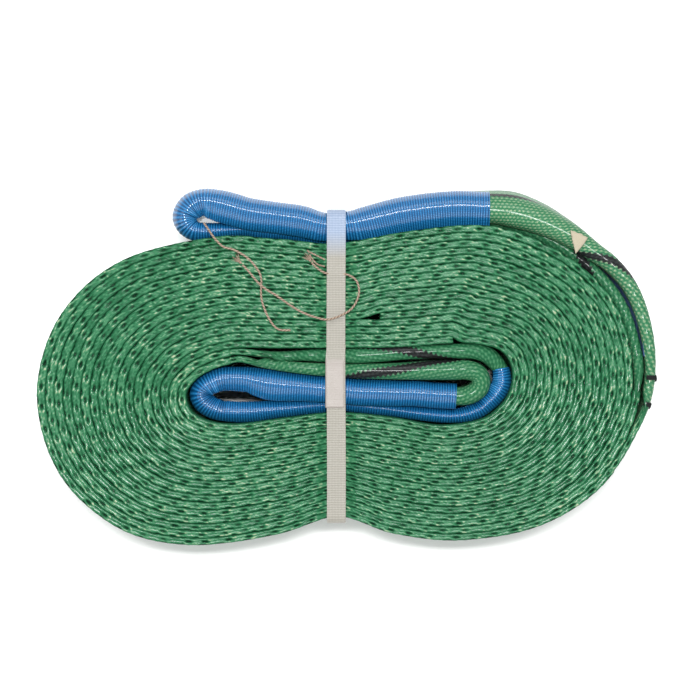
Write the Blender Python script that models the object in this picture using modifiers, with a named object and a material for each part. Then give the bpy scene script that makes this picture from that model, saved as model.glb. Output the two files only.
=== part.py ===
"""Duplex webbing sling with two sleeved soft eyes, rolled into an oval coil and strapped.

The coil lies on its selvedges: the webbing's width runs along +Z from the resting plane.
The sling is one long webbing strip. It starts at the splice beside the inner eye, runs out
through the coil as the inner ply, forms the outer eye, returns as the outer ply, forms the
inner eye, and overlaps its own start for one turn of the coil.
"""
import math

import bmesh
import bpy

MM = 0.001

# Driving dimensions, in millimetres
WEB_WIDTH = 60.0
PLY = 2.3
FOLD_GAP = 0.4
FOLD_RADIUS = (PLY + FOLD_GAP) / 2
SLEEVE_WALL = 0.6
SLEEVE_HALF_DEPTH = 17.2
CLEAR = 0.3
THREAD_RADIUS = 0.3
SEAM_OFFSET = PLY / 2 + CLEAR + THREAD_RADIUS
STITCHES = 12
LABEL_THICK = 0.5
STRAP_WIDTH = 8.7
STRAP_THICK = 0.55
STRAP_X = -5.0
STRAP_BITE = 1.8
TWINE_RADIUS = 0.45

# Middle of the finished part in the frame that the routes below are given in
MIDDLE_X = 0.32
MIDDLE_Y = -1.2

# Turns of the coil, counted from the mouth of the inner eye, and plies in its full pack
SPLICE_START = 0.945
SPLICE_END = 2.015
STEP_TURNS = 0.02
FLAT_START = 0.15
INNER_PLY_LIFT = 7.8
LOWER_LEG_END = 8.13
OUTER_PLY_END = 7.75
PACK_PLIES = 17.0
STEPS_PER_TURN = 40

# Closed guides of the coil, from above its middle leftwards and round: the line where the
# innermost ply would start, and the line that the outside of the full pack reaches
INNER_GUIDE = [
    (24.5, 1), (-5.5, 0.5), (-31, 0), (-53, -1), (-65.5, -6),
    (-71.5, -12.5), (-71.5, -17), (-68, -22), (-60, -24.5), (-48.5, -24.5),
    (-28, -21.5), (-5.5, -19.3), (19.5, -20.5), (42, -24), (59, -21.5),
    (66.5, -16), (69.5, -10.5), (70, -4), (65, 2), (49.5, 3),
]
OUTER_GUIDE = [
    (31, 61.5), (-4.5, 55.5), (-33, 57), (-60.5, 57.6), (-102.5, 46.5),
    (-130, 22), (-140.5, -13.5), (-130.5, -48.5), (-104, -73), (-71, -80.5),
    (-33, -75.5), (-4.5, -67.4), (22, -74.5), (53.5, -77), (89, -69.5),
    (116.5, -49.5), (132.5, -16), (127.5, 22), (105, 48), (69, 63.5),
]

# Stations of the folded webbing round each eye: x, y, height of the fold, how far the
# strip is folded (1 is in half), and half the sleeve's thickness (0 where it is bare)
INNER_EYE = [
    (-39, 4.5, 60, 0, 0), (-28.5, 4, 60, 0, 0), (-17, 3.7, 60, 0.2, 0),
    (0, 3.5, 60, 0.33, 0), (14.5, 4, 60, 0.42, 0), (24.5, 5, 59.5, 0.5, 0),
    (38, 5.5, 59, 0.58, 0), (50.5, 6, 58.5, 0.68, 0), (59, 6, 58, 0.78, 0),
    (65, 4, 57.5, 0.86, 0), (69, 0.5, 57, 0.93, 0), (71.5, -3, 56.5, 1, 3.6),
    (72, -8, 56, 1, 3.8), (70, -13, 55, 1, 3.9), (65.6, -17.7, 54, 1, 3.7),
    (60.3, -21.7, 53, 1, 3.4), (50.5, -24.3, 52, 1, 3.2), (38, -23.4, 51, 1, 3.3),
    (27.5, -22.1, 50, 1, 3.3), (15, -20.5, 50, 1, 3.3), (0, -19, 50, 1, 3.3),
    (-12.5, -19.3, 50, 1, 3.5), (-24, -20.5, 51, 1, 3.7), (-35.5, -21.7, 52, 1, 4),
    (-47, -22.6, 53, 1, 4.4), (-58.5, -22.1, 54, 1, 4.5), (-65, -18.8, 55, 1, 4.8),
    (-67.6, -14.2, 56, 1, 5), (-65.3, -10.2, 57, 1, 4.9), (-58.5, -7.4, 57.3, 1, 5.3),
    (-47, -7.5, 57.3, 1, 5.6), (-35.5, -8.7, 57.3, 1, 5.5), (-24, -9.7, 57.3, 1, 5),
    (-12.5, -10.4, 57.3, 1, 4.3), (0, -10.9, 57.3, 1, 4.1), (15, -12.5, 57.3, 1, 4.5),
    (27.5, -13.5, 57.3, 1, 4.9), (38, -14.4, 57.3, 1, 5.2), (50.5, -15, 57.3, 1, 5.5),
    (56.5, -14.5, 58, 0.97, 0), (61, -11.5, 58, 0.94, 0), (62, -7.5, 58, 0.9, 0),
    (60, -4, 58.5, 0.86, 0), (55, -2.5, 58.5, 0.8, 0), (49.5, -2.5, 59, 0.75, 0),
    (38, -3, 59, 0.65, 0), (24.5, -3, 59.5, 0.56, 0), (9.5, -3, 60, 0.47, 0),
    (0, -3, 60, 0.4, 0), (-17, -2, 60, 0.2, 0), (-28.5, -1, 60, 0, 0), (-39, 0, 60, 0, 0),
]
OUTER_EYE = [
    (-67.5, 62.2, 52, 1, 3.8), (-73.3, 63.9, 53, 1, 4.5), (-75.2, 68.3, 54.5, 1, 5.3),
    (-72.4, 73, 56, 1, 6), (-67, 75.2, 56.5, 1, 6.2), (-60.5, 74.8, 57, 1, 6.3),
    (-53, 73.3, 57, 1, 6), (-44.5, 71.7, 57, 1, 5.5), (-31, 70, 57, 1, 4.8),
    (-21.5, 69, 57, 1, 4.4), (-12.5, 67.3, 57, 1, 3.5), (-4.5, 66.7, 57, 1, 3.3),
    (2.5, 67.5, 57, 1, 3.6), (8.5, 69, 57, 1, 4.1), (24.5, 73, 57, 1, 4.4),
    (47.5, 75.5, 57, 1, 4.5), (66, 75.5, 57, 1, 4.4), (77.5, 74.5, 57.5, 1, 0),
    (89, 70.5, 58, 0.93, 0), (98, 66, 58, 0.85, 0), (107, 60.5, 58.5, 0.75, 0),
    (115.5, 54, 59, 0.66, 0), (123, 47, 59, 0.57, 0), (130.3, 38, 59.5, 0.48, 0),
    (135.5, 27, 60, 0.38, 0), (138.9, 13.3, 60, 0.28, 0), (140.2, -0.5, 60, 0.18, 0),
    (139.8, -11, 60, 0.1, 0), (137.5, -20, 60, 0.05, 0), (132.5, -30.5, 60, 0, 0),
]
LOWER_LEG_FOLD = 50.0
LOWER_LEG_HALF = 3.3

LABEL_ROUTE = [(116.5, 49), (123.3, 41), (128.9, 32), (132.6, 22.5), (135.7, 12.5), (137, 3.5)]

# Routes of the twine over the coil's upper side, as x, y and height above its resting place
FREE_STRAND = [
    (-66, 65, -3), (-63.5, 61.5, -1), (-61, 58, 0), (-57, 54, 0), (-52, 52.5, 0), (-46, 49, 0),
    (-41.5, 44, 0), (-39.5, 39.5, 0), (-39.5, 31.5, 0), (-38, 25.5, 0), (-35, 19.5, 0),
    (-31.5, 16, 0), (-26, 15.5, 0),
]
STRAP_STRAND = [
    (-48, 45.5, 0), (-45.5, 43, 0.4), (-42.5, 39.3, 1.1), (-39.6, 36.2, 1.4), (-36, 33.6, 0.9),
    (-32.5, 31.5, 0.2), (-26, 27, 0), (-21, 24, 0), (-14.5, 21.5, 0), (-8.5, 20.5, 0),
    (-1.5, 23, 0), (3, 26.5, 0), (5.5, 32.5, 0), (4.5, 38, 0), (0.2, 41.3, 0),
]
TUCKED_STRAND = [(-10.2, 41.8, 0), (-13.5, 44, 0), (-16.3, 46.8, 0)]
TUFTS = {"outer": (-50, 47.8, -45), "inner": (-18.2, 50.6, -60)}
TAB_OUTLINE = [(103.5, 60), (107, 58.2), (111, 57), (108.5, 54.2), (105, 51.3)]


def spline(points, t, closed=False):
    """Catmull-Rom curve through tuples of any length; t counts points."""
    count = len(points)
    i = math.floor(t)
    if closed:
        picks = [points[(i + k) % count] for k in (-1, 0, 1, 2)]
    else:
        i = min(max(i, 0), count - 2)
        picks = [points[min(max(i + k, 0), count - 1)] for k in (-1, 0, 1, 2)]
    f = t - i
    a, b, c, d = picks
    return [
        q + 0.5 * f * (r - p + f * (2 * p - 5 * q + 4 * r - s + f * (3 * q - p - 3 * r + s)))
        for p, q, r, s in zip(a, b, c, d)
    ]


def smooth_step(x):
    x = min(max(x, 0.0), 1.0)
    return x * x * (3 - 2 * x)


def first_step(turn):
    return smooth_step((turn - SPLICE_START) / STEP_TURNS)


def second_step(turn):
    return smooth_step((turn - SPLICE_END) / STEP_TURNS)


def extra_plies(turn):
    """Plies that the splice adds inside the outer ply, beyond two for every turn."""
    total = 0.0
    while turn > 0:
        total += first_step(turn) - second_step(turn)
        turn -= 1
    return total


def coil_point(turn, ply):
    """Point in the coil at a turn and at a number of plies from the inner guide."""
    t = (turn % 1.0) * len(INNER_GUIDE)
    inner = spline(INNER_GUIDE, t, closed=True)
    outer = spline(OUTER_GUIDE, t, closed=True)
    pack = PACK_PLIES - 1 + extra_plies(turn % 1.0 + 5)
    return [a + (b - a) * ply / pack for a, b in zip(inner, outer)]


def start_ply(turn):
    """The ply that starts at the splice: innermost of three, then the body's inner ply."""
    return coil_point(turn, 2 * turn + 0.5 + extra_plies(turn - 1))


def end_ply(turn):
    """The inner ply that leaves the inner eye and ends at the far end of the splice."""
    return coil_point(turn, 2 * turn + 0.5 + extra_plies(turn - 1) + first_step(turn))


def outer_ply(turn):
    return coil_point(turn, 2 * turn + 1.5 + extra_plies(turn))


def lower_leg(turn):
    """The inner ply's continuation along the coil as the outer eye's lower leg."""
    rise = smooth_step((turn - INNER_PLY_LIFT) / 0.17)
    x, y = coil_point(turn, 2 * turn + 0.6 + extra_plies(turn - 1) + 0.4 * rise)
    return x, y, WEB_WIDTH - (WEB_WIDTH - LOWER_LEG_FOLD) * rise, 0.06 + 0.94 * rise, LOWER_LEG_HALF


def turns(first, last):
    """Turns between two values on the coil's common grid, so that neighbouring plies match."""
    step = 1.0 / STEPS_PER_TURN
    inside = [k * step for k in range(math.ceil(first / step + 0.2), math.floor(last / step - 0.2) + 1)]
    return [first] + inside + [last]


def flat_stations(ply, values):
    return [(*ply(turn), WEB_WIDTH, 0.0, 0.0) for turn in values]


def densify(stations, parts):
    """Stations of a smooth curve through the given ones, cut into parts per stretch."""
    total = (len(stations) - 1) * parts
    return [tuple(spline(stations, k / parts)) for k in range(total + 1)]


def frames(stations):
    """Each station with the unit normal to the right of the direction of travel."""
    result = []
    for i, station in enumerate(stations):
        before = stations[max(i - 1, 0)]
        after = stations[min(i + 1, len(stations) - 1)]
        dx, dy = after[0] - before[0], after[1] - before[1]
        length = math.hypot(dx, dy)
        result.append((station, (dy / length, -dx / length)))
    return result


def place(station, normal, offset, z):
    return ((station[0] + normal[0] * offset) * MM, (station[1] + normal[1] * offset) * MM, z * MM)


def flat_section(station, normal):
    half = PLY / 2
    corners = [(-half, 0.0), (-half, WEB_WIDTH), (half, WEB_WIDTH), (half, 0.0)]
    return [place(station, normal, a, z) for a, z in corners]


def folded_section(station, normal):
    """Hairpin: a standing wall, a round fold on top and a flap that hangs on the right."""
    _, _, top, fold, _ = station
    outside = FOLD_RADIUS + PLY / 2
    inside = FOLD_GAP / 2
    straight = WEB_WIDTH - math.pi * FOLD_RADIUS
    flap = fold * straight / 2 + 1.5 * (1 - fold)
    wall = straight - flap
    spring = top - outside
    outline = [(-outside, spring - wall)]
    for k in range(5):
        angle = math.pi * k / 4
        outline.append((-outside * math.cos(angle), spring + outside * math.sin(angle)))
    outline += [(outside, spring - flap), (inside, spring - flap), (inside, spring)]
    outline += [(0.0, spring + inside), (-inside, spring), (-inside, spring - wall)]
    return [place(station, normal, a, z) for a, z in outline]


def section(station, normal):
    if station[3] < 0.03:
        return flat_section(station, normal)
    return folded_section(station, normal)


def bridge(bm, near, far):
    """Faces between two rings of a strip, where a flat ring may meet a folded one."""
    if len(near) == len(far):
        for k in range(len(near)):
            j = (k + 1) % len(near)
            bm.faces.new((near[k], near[j], far[j], far[k]))
        return
    flat, hairpin = (near, far) if len(near) == 4 else (far, near)
    bottom_out, top_out, top_in, bottom_in = flat
    bm.faces.new((bottom_out, top_out, hairpin[1], hairpin[0]))
    bm.faces.new((bottom_in, bottom_out, hairpin[0], hairpin[-1]))
    bm.faces.new((top_in, bottom_in, hairpin[-1], hairpin[-2]))
    for k in range(1, 7):
        bm.faces.new((top_out, hairpin[k + 1], hairpin[k]))
    for k in range(7, len(hairpin) - 2):
        bm.faces.new((top_in, hairpin[k + 1], hairpin[k]))
    bm.faces.new((top_out, top_in, hairpin[7]))


def finish_mesh(bm, name, material):
    bmesh.ops.recalc_face_normals(bm, faces=bm.faces)
    mesh = bpy.data.meshes.new(name)
    bm.to_mesh(mesh)
    bm.free()
    return add_object(name, mesh, material)


def add_object(name, data, material):
    obj = bpy.data.objects.new(name, data)
    obj.data.materials.append(material)
    parts.objects.link(obj)
    return obj


def make_material(name, colour, roughness):
    material = bpy.data.materials.new(name)
    material.use_nodes = True
    shader = material.node_tree.nodes["Principled BSDF"]
    shader.inputs["Base Color"].default_value = (*colour, 1.0)
    shader.inputs["Roughness"].default_value = roughness
    shader.inputs["Metallic"].default_value = 0.0
    return material


def nudged(frame, distance):
    """A station and its normal, moved along the direction of travel."""
    station, normal = frame
    moved = (station[0] - normal[1] * distance, station[1] + normal[0] * distance)
    return moved + tuple(station[2:]), normal


def make_strip(name, framed, material):
    bm = bmesh.new()
    rings = [[bm.verts.new(p) for p in section(s, n)] for s, n in framed]
    for near, far in zip(rings, rings[1:]):
        bridge(bm, near, far)
    bm.faces.new(rings[0])
    bm.faces.new(rings[-1])
    return finish_mesh(bm, name, material)


def webbing_stretches():
    """Stations of the belt by stretch, in order from its start end to its finishing end."""
    start = flat_stations(start_ply, turns(SPLICE_START + STEP_TURNS, INNER_PLY_LIFT))
    leg = [lower_leg(turn) for turn in turns(INNER_PLY_LIFT + 0.01, LOWER_LEG_END)]
    back = flat_stations(outer_ply, reversed(turns(FLAT_START, OUTER_PLY_END)))
    end = flat_stations(end_ply, turns(FLAT_START, SPLICE_END - 0.005))
    return [
        ("webbing_start_ply", start),
        ("webbing_outer_eye", leg + densify(OUTER_EYE, 2)),
        ("webbing_back_ply", back),
        ("webbing_inner_eye", densify(INNER_EYE, 2)),
        ("webbing_end_ply", end),
    ]


def make_webbing(material):
    """The belt in stretches, each a hair clear of the one before."""
    stretches = webbing_stretches()
    path = iter(frames([station for _, stations in stretches for station in stations]))
    made, before = [], None
    for name, stations in stretches:
        framed = [next(path) for _ in stations]
        if before is not None:
            framed.insert(0, nudged(before, CLEAR))
        before = framed[-1]
        made.append(make_strip(name, framed, material))
    return made


def sleeve_outline(station, normal):
    """Rounded-end section of a sleeve's outer face around the folded strip."""
    half = station[4]
    middle = station[2] + CLEAR + SLEEVE_WALL - SLEEVE_HALF_DEPTH
    straight = SLEEVE_HALF_DEPTH - half
    outline = []
    for sign in (1, -1):
        for k in range(5):
            angle = math.pi * (k / 4 - 0.5) * sign
            outline.append((half * math.sin(angle), middle + sign * (straight + half * math.cos(angle))))
    return [place(station, normal, a, z) for a, z in outline]


def make_sleeve(name, stations, material):
    """Open tube round an eye, thickened inwards."""
    bm = bmesh.new()
    rings = [[bm.verts.new(p) for p in sleeve_outline(s, n)] for s, n in frames(stations)]
    for near, far in zip(rings, rings[1:]):
        for k in range(len(near)):
            j = (k + 1) % len(near)
            bm.faces.new((near[k], near[j], far[j], far[k]))
    tube = finish_mesh(bm, name, material)
    shell = tube.modifiers.new("wall", "SOLIDIFY")
    shell.thickness = SLEEVE_WALL * MM
    shell.offset = -1.0
    return tube


def make_tube(name, points, radius, material, resolution=2):
    curve = bpy.data.curves.new(name, "CURVE")
    curve.dimensions = "3D"
    curve.bevel_depth = radius * MM
    curve.bevel_resolution = resolution
    curve.use_fill_caps = True
    line = curve.splines.new("POLY")
    line.points.add(len(points) - 1)
    for point, place_mm in zip(line.points, points):
        point.co = (*(value * MM for value in place_mm), 1.0)
    return add_object(name, curve, material)


def beside(path, at, offset):
    """Point beside a path, to the right of its direction."""
    x, y = path(at)[:2]
    x2, y2 = path(at + 0.002)[:2]
    length = math.hypot(x2 - x, y2 - y)
    return x + (y2 - y) / length * offset, y - (x2 - x) / length * offset


def cross_seam(name, path, at, swing, offset, heights, material):
    """Zigzag seam across the webbing's width."""
    low, high = heights
    points = []
    for k in range(STITCHES + 1):
        x, y = beside(path, at + (swing if k % 2 else -swing), offset)
        points.append((x, y, low + (high - low) * k / STITCHES))
    return make_tube(name, points, THREAD_RADIUS, material, 0)


def body_seam(name, z, material):
    """Long seam on the outer ply's outside, over the turn that stays in sight."""
    points = [(*beside(outer_ply, turn, SEAM_OFFSET), z) for turn in turns(7.2, 7.7)]
    return make_tube(name, points, THREAD_RADIUS, material, 0)


def outer_eye_path(at):
    return spline(OUTER_EYE, at)


def outer_eye_seam(name, at, material):
    """Cross seam on the outside of the outer eye's base, where the fold runs out."""
    offset = -(FOLD_RADIUS + SEAM_OFFSET)
    cross_seam(name, outer_eye_path, at, 0.1, offset, (6, WEB_WIDTH - 3), material)


def make_label(name, material):
    """Thin sheet that stands between the plies at the outer eye's mouth."""
    half = LABEL_THICK / 2
    bm = bmesh.new()
    rings = []
    for station, normal in frames(densify([(x, y) for x, y in LABEL_ROUTE], 3)):
        corners = [(-half, 8), (-half, 56), (half, 56), (half, 8)]
        rings.append([bm.verts.new(place(station, normal, a, z)) for a, z in corners])
    for near, far in zip(rings, rings[1:]):
        bridge(bm, near, far)
    bm.faces.new(rings[0])
    bm.faces.new(rings[-1])
    return finish_mesh(bm, name, material)


def strap_route():
    """Inner face of the strap in its own plane as (y, z): over the coil and both eyes."""
    top = WEB_WIDTH - STRAP_BITE + CLEAR
    bottom = STRAP_BITE - CLEAR
    far_y = 71.0
    near_y = -73.0
    corners = [
        (near_y, bottom + 2.5, near_y + 2.5, bottom), (far_y - 4.5, bottom, far_y, bottom + 4.5),
        (far_y, top - 4.5, far_y - 4.5, top), (near_y + 2.5, top, near_y, top - 2.5),
    ]
    route = []
    for y1, z1, y2, z2 in corners:
        corner = (y1, z2) if abs(y1) > abs(y2) else (y2, z1)
        for k in range(5):
            angle = math.pi / 2 * k / 4
            a, b = math.cos(angle), math.sin(angle)
            centre = (y1 + y2 - corner[0], z1 + z2 - corner[1])
            route.append((
                centre[0] + (y1 - centre[0]) * a + (y2 - centre[0]) * b,
                centre[1] + (z1 - centre[1]) * a + (z2 - centre[1]) * b,
            ))
    return route


def make_strap(name, material):
    """Closed band whose two ends are welded on each other on the upper side."""
    weld_start, weld_end = 0.0, -20.0
    route = strap_route()
    route[15:15] = [(y, route[14][1]) for y in (weld_start + 0.3, weld_start, weld_end, weld_end - 0.3)]
    bm = bmesh.new()
    rings = []
    count = len(route)
    for i, (y, z) in enumerate(route):
        back, ahead = route[i - 1], route[(i + 1) % count]
        dy, dz = ahead[0] - back[0], ahead[1] - back[1]
        length = math.hypot(dy, dz)
        out_y, out_z = dz / length, -dy / length
        thick = STRAP_THICK * (2 if weld_end <= y <= weld_start and z > WEB_WIDTH / 2 else 1)
        ring = []
        for x, rise in ((-0.5, 0.0), (0.5, 0.0), (0.5, thick), (-0.5, thick)):
            ring.append(bm.verts.new((
                (STRAP_X + x * STRAP_WIDTH) * MM, (y + out_y * rise) * MM, (z + out_z * rise) * MM,
            )))
        rings.append(ring)
    for near, far in zip(rings, rings[1:] + rings[:1]):
        for k in range(4):
            j = (k + 1) % 4
            bm.faces.new((near[k], near[j], far[j], far[k]))
    return finish_mesh(bm, name, material)


def make_bite(targets):
    """Shallow grooves that the strap presses into the webbing's edges."""
    for side, z in (("upper", WEB_WIDTH), ("lower", 0.0)):
        bpy.ops.mesh.primitive_cube_add(size=1, location=(STRAP_X * MM, -8 * MM, z * MM))
        cutter = bpy.context.object
        cutter.name = "strap_bite_" + side
        cutter.scale = ((STRAP_WIDTH + 1.4) * MM, 160 * MM, 2 * STRAP_BITE * MM)
        cutter.display_type = "WIRE"
        cutter.hide_render = True
        for collection in list(cutter.users_collection):
            collection.objects.unlink(cutter)
        cutters.objects.link(cutter)
        for target in targets:
            cut = target.modifiers.new("bite_" + side, "BOOLEAN")
            cut.operation = "DIFFERENCE"
            cut.object = cutter


def make_twine(name, route, material):
    """Round twine that lies on the coil's upper edges."""
    rest = WEB_WIDTH + CLEAR + TWINE_RADIUS
    points = [(x, y, rest + rise) for x, y, rise in densify(route, 3)]
    return make_tube(name, points, TWINE_RADIUS, material)


def make_tuft(name, x, y, angle, material):
    """Flattened spindle: a knot with its frayed ends."""
    long, wide, high = 2.6, 1.2, 0.7
    bm = bmesh.new()
    bmesh.ops.create_uvsphere(bm, u_segments=12, v_segments=8, radius=1.0)
    mesh = bpy.data.meshes.new(name)
    bm.to_mesh(mesh)
    bm.free()
    tuft = add_object(name, mesh, material)
    tuft.location = (x * MM, y * MM, (WEB_WIDTH + CLEAR + high) * MM)
    tuft.rotation_euler = (0, 0, math.radians(angle))
    tuft.scale = (long * MM, wide * MM, high * MM)
    return tuft


def make_tab(name, material):
    """Flat cream corner that lies on the webbing at the outer eye's mouth."""
    half = 0.2
    curve = bpy.data.curves.new(name, "CURVE")
    curve.dimensions = "2D"
    curve.fill_mode = "BOTH"
    curve.extrude = half * MM
    outline = curve.splines.new("POLY")
    outline.points.add(len(TAB_OUTLINE) - 1)
    outline.use_cyclic_u = True
    for point, (x, y) in zip(outline.points, TAB_OUTLINE):
        point.co = (x * MM, y * MM, 0, 1)
    tab = add_object(name, curve, material)
    tab.location = (0, 0, (WEB_WIDTH + CLEAR + half) * MM)
    return tab


for old in list(bpy.data.objects):
    bpy.data.objects.remove(old, do_unlink=True)

parts = bpy.data.collections.new("webbing_sling")
cutters = bpy.data.collections.new("cutters")
bpy.context.scene.collection.children.link(parts)
bpy.context.scene.collection.children.link(cutters)

green = make_material("green_webbing", (0.075, 0.27, 0.13), 0.62)
blue = make_material("blue_sleeve", (0.035, 0.2, 0.42), 0.45)
navy = make_material("label_blue", (0.04, 0.09, 0.2), 0.5)
cream = make_material("tab_cream", (0.85, 0.78, 0.6), 0.7)
black = make_material("black_thread", (0.02, 0.02, 0.022), 0.6)
green_thread = make_material("green_thread", (0.06, 0.22, 0.11), 0.6)
white = make_material("strap_white", (0.6, 0.58, 0.54), 0.35)
brown = make_material("twine_brown", (0.33, 0.23, 0.16), 0.85)

webbing = make_webbing(green)
make_bite(webbing)

inner_legs = [station for station in INNER_EYE if station[4] > 0]
make_sleeve("inner_eye_sleeve", densify(inner_legs, 2), blue)
upper_leg = [station for station in OUTER_EYE if station[4] > 0]
hidden_leg = [lower_leg(turn) for turn in turns(7.975, LOWER_LEG_END)]
make_sleeve("outer_eye_sleeve", hidden_leg + densify(upper_leg, 2), blue)

coil_heights = (5, WEB_WIDTH - 5)
cross_seam("inner_eye_seam", outer_ply, 0.24, 0.0022, SEAM_OFFSET, coil_heights, green_thread)
cross_seam("splice_seam_start", outer_ply, 1.2, 0.0022, SEAM_OFFSET, coil_heights, green_thread)
cross_seam("splice_seam_end", outer_ply, 1.78, 0.0022, SEAM_OFFSET, coil_heights, green_thread)
outer_eye_seam("outer_eye_seam_near", 26.6, black)
outer_eye_seam("outer_eye_seam_far", 27.88, black)
for position, height in (("upper", 51.0), ("middle", 30.0), ("lower", 9.0)):
    body_seam("body_seam_" + position, height, green_thread)

make_label("id_label", navy)
make_tab("label_tab", cream)
make_strap("packing_strap", white)

make_twine("twine_free_strand", FREE_STRAND, brown)
make_twine("twine_strap_strand", STRAP_STRAND, brown)
make_twine("twine_tucked_strand", TUCKED_STRAND, brown)
for position, (tuft_x, tuft_y, tuft_angle) in TUFTS.items():
    make_tuft("twine_tuft_" + position, tuft_x, tuft_y, tuft_angle, brown)

for piece in list(parts.objects) + list(cutters.objects):
    piece.location.x -= MIDDLE_X * MM
    piece.location.y -= MIDDLE_Y * MM
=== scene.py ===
"""Look of the coiled webbing sling: woven webbing, ribbed eye sleeves, strap, label and twine."""

import math

import bmesh
import bpy
import numpy as np
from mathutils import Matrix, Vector


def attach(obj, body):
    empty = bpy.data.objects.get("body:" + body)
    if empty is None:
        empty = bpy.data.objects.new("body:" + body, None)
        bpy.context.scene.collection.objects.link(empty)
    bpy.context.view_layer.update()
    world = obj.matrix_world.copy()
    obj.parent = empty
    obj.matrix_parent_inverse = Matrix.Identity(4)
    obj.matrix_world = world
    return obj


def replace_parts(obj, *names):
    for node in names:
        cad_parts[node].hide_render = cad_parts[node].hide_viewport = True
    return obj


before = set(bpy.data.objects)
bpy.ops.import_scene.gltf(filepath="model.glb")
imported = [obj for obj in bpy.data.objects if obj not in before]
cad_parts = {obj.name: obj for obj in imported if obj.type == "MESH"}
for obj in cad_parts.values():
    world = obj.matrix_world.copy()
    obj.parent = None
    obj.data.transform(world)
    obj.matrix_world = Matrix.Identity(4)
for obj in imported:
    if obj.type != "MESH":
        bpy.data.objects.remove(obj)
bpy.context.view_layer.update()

MM = 0.001
# Middle of the coil's outline in the coordinates that the routes below are given in
MIDDLE = np.array([0.32, -1.2])

# Driving dimensions of the CAD part, in millimetres
WEB_WIDTH = 60.0
SLEEVE_DEPTH = 34.4
SLEEVE_RISE = 0.9
SPLICE_START = 0.945
SPLICE_END = 2.015
STEP_TURNS = 0.02
FLAT_START = 0.15
INNER_PLY_LIFT = 7.8
LOWER_LEG_END = 8.13
OUTER_PLY_END = 7.75
PACK_PLIES = 17.0
STRAP_X = -5.0
STRAP_WIDTH = 8.7
STRAP_THICK = 0.55
STRAP_BITE = 1.8
EMBOSS_PITCH = 2.2
EMBOSS_SLANT = 1.6

# Weave: holes along the selvedges, ribs on the faces and the two load stripes across the width
HOLE_PITCH = 9.4
HOLE_HALF = 1.15
FACE_RIB = 1.3
STRIPES = (16.5, 43.5)
STRIPE_HALF = 1.25
SLEEVE_RIB = 1.2

# Meshing: samples to a turn of the coil, length of its quads, the length of webbing that a
# turn's weave is shifted by, and how far below the edge the rounded selvedge starts
TURN_SAMPLES = 900
COIL_STEP = 0.94
MEAN_TURN = 520.0
CAP_START = 0.9
# The weave attribute holds the length along a piece, the way round it and a tone; on webbing,
# sleeves and twine the tone is mostly painted shade and highlight. On webbing the way round is
# the width on one face, then CAP_V on the selvedge, then BACK_V plus the width
CAP_V = 80.0
BACK_V = 100.0

INNER_GUIDE = np.array([
    (24.5, 1), (-5.5, 0.5), (-31, 0), (-53, -1), (-65.5, -6),
    (-71.5, -12.5), (-71.5, -17), (-68, -22), (-60, -24.5), (-48.5, -24.5),
    (-28, -21.5), (-5.5, -19.3), (19.5, -20.5), (42, -24), (59, -21.5),
    (66.5, -16), (69.5, -10.5), (70, -4), (65, 2), (49.5, 3),
], float)
OUTER_GUIDE = np.array([
    (31, 61.5), (-4.5, 55.5), (-33, 57), (-60.5, 57.6), (-102.5, 46.5),
    (-130, 22), (-140.5, -13.5), (-130.5, -48.5), (-104, -73), (-71, -80.5),
    (-33, -75.5), (-4.5, -67.4), (22, -74.5), (53.5, -77), (89, -69.5),
    (116.5, -49.5), (132.5, -16), (127.5, 22), (105, 48), (69, 63.5),
], float)

# Bare folded stretches: x, y, top, folded-over length, half of the fold's thickness and how
# far the fold leans to the right of its direction of travel
INNER_MOUTH_OUT = np.array([
    (-39, 4.6, 60, 0.8, 1.9, 0), (-28.5, 4, 60, 4, 2.1, 0),
    (-17, 4, 60, 8.8, 2.7, 0), (0, 3.7, 60.2, 14.5, 3.5, 0), (14.5, 4.3, 60.2, 16.9, 3.5, 0),
    (24.5, 5.2, 60, 18.3, 3.4, 0), (38, 5.6, 59.6, 20.8, 3.2, 0), (50.5, 5.9, 59.2, 23.6, 3.5, 0),
    (59, 5.9, 58.6, 25.4, 3.8, 0), (65, 4, 58, 27.1, 3.9, 0), (69, 0.5, 57, 28.7, 3.8, 0),
    (71.5, -3, 56.3, 30.3, 3.3, 0), (72, -8, 56, 31, 3.1, 0),
], float)
INNER_MOUTH_IN = np.array([
    (38, -14.4, 57, 31, 3.6, 0), (50.5, -15, 57, 31, 4.1, 0), (56.5, -14.3, 57.6, 30.5, 4.4, 0),
    (61, -11.5, 58, 29.6, 4.4, 0), (62, -7.5, 58.4, 29.1, 4.4, 0), (60, -4.2, 58.8, 28.1, 4.4, 0),
    (55, -2.7, 59, 27.3, 4.6, 0), (49.5, -2.7, 59.2, 26.1, 4.7, 0), (38, -2.9, 59.6, 24.2, 4.5, 0),
    (24.5, -3.3, 60, 21.1, 3.9, 0), (9.5, -3.3, 60.2, 18.6, 3.5, 0), (0, -3.2, 60.2, 16.8, 3.3, 0),
    (-17, -2.2, 60, 12.6, 2.8, 0), (-28.5, -1.1, 60, 7.6, 2.4, 0), (-39, 0, 60, 2.6, 2.1, 0),
], float)
OUTER_MOUTH = np.array([
    (47.5, 75.5, 56.6, 45, 6.2, 3.6), (66, 75.5, 56.6, 45, 7, 4.2), (77.5, 74.5, 57.6, 45, 7.6, 4.6),
    (89, 70.5, 58.2, 42, 7, 4), (98, 66, 58.6, 36.7, 6.1, 3.4), (107, 60.5, 59, 30, 5.3, 2.9),
    (115.5, 54, 59.4, 23.5, 4.5, 2.6), (123, 47, 59.8, 19.3, 3.9, 1.3), (130.3, 38, 60, 16.4, 3.5, 0.9),
    (135.5, 27, 60.2, 13, 3.2, 0.7), (138.9, 13.3, 60.2, 10, 2.9, 0.4), (140.2, -0.5, 60.2, 7, 2.5, 0.1),
    (139.8, -11, 60, 4, 2.2, 0), (137.5, -20, 60, 1.5, 1.9, 0), (132.5, -30.5, 60, 0, 1.7, 0),
], float)
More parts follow.
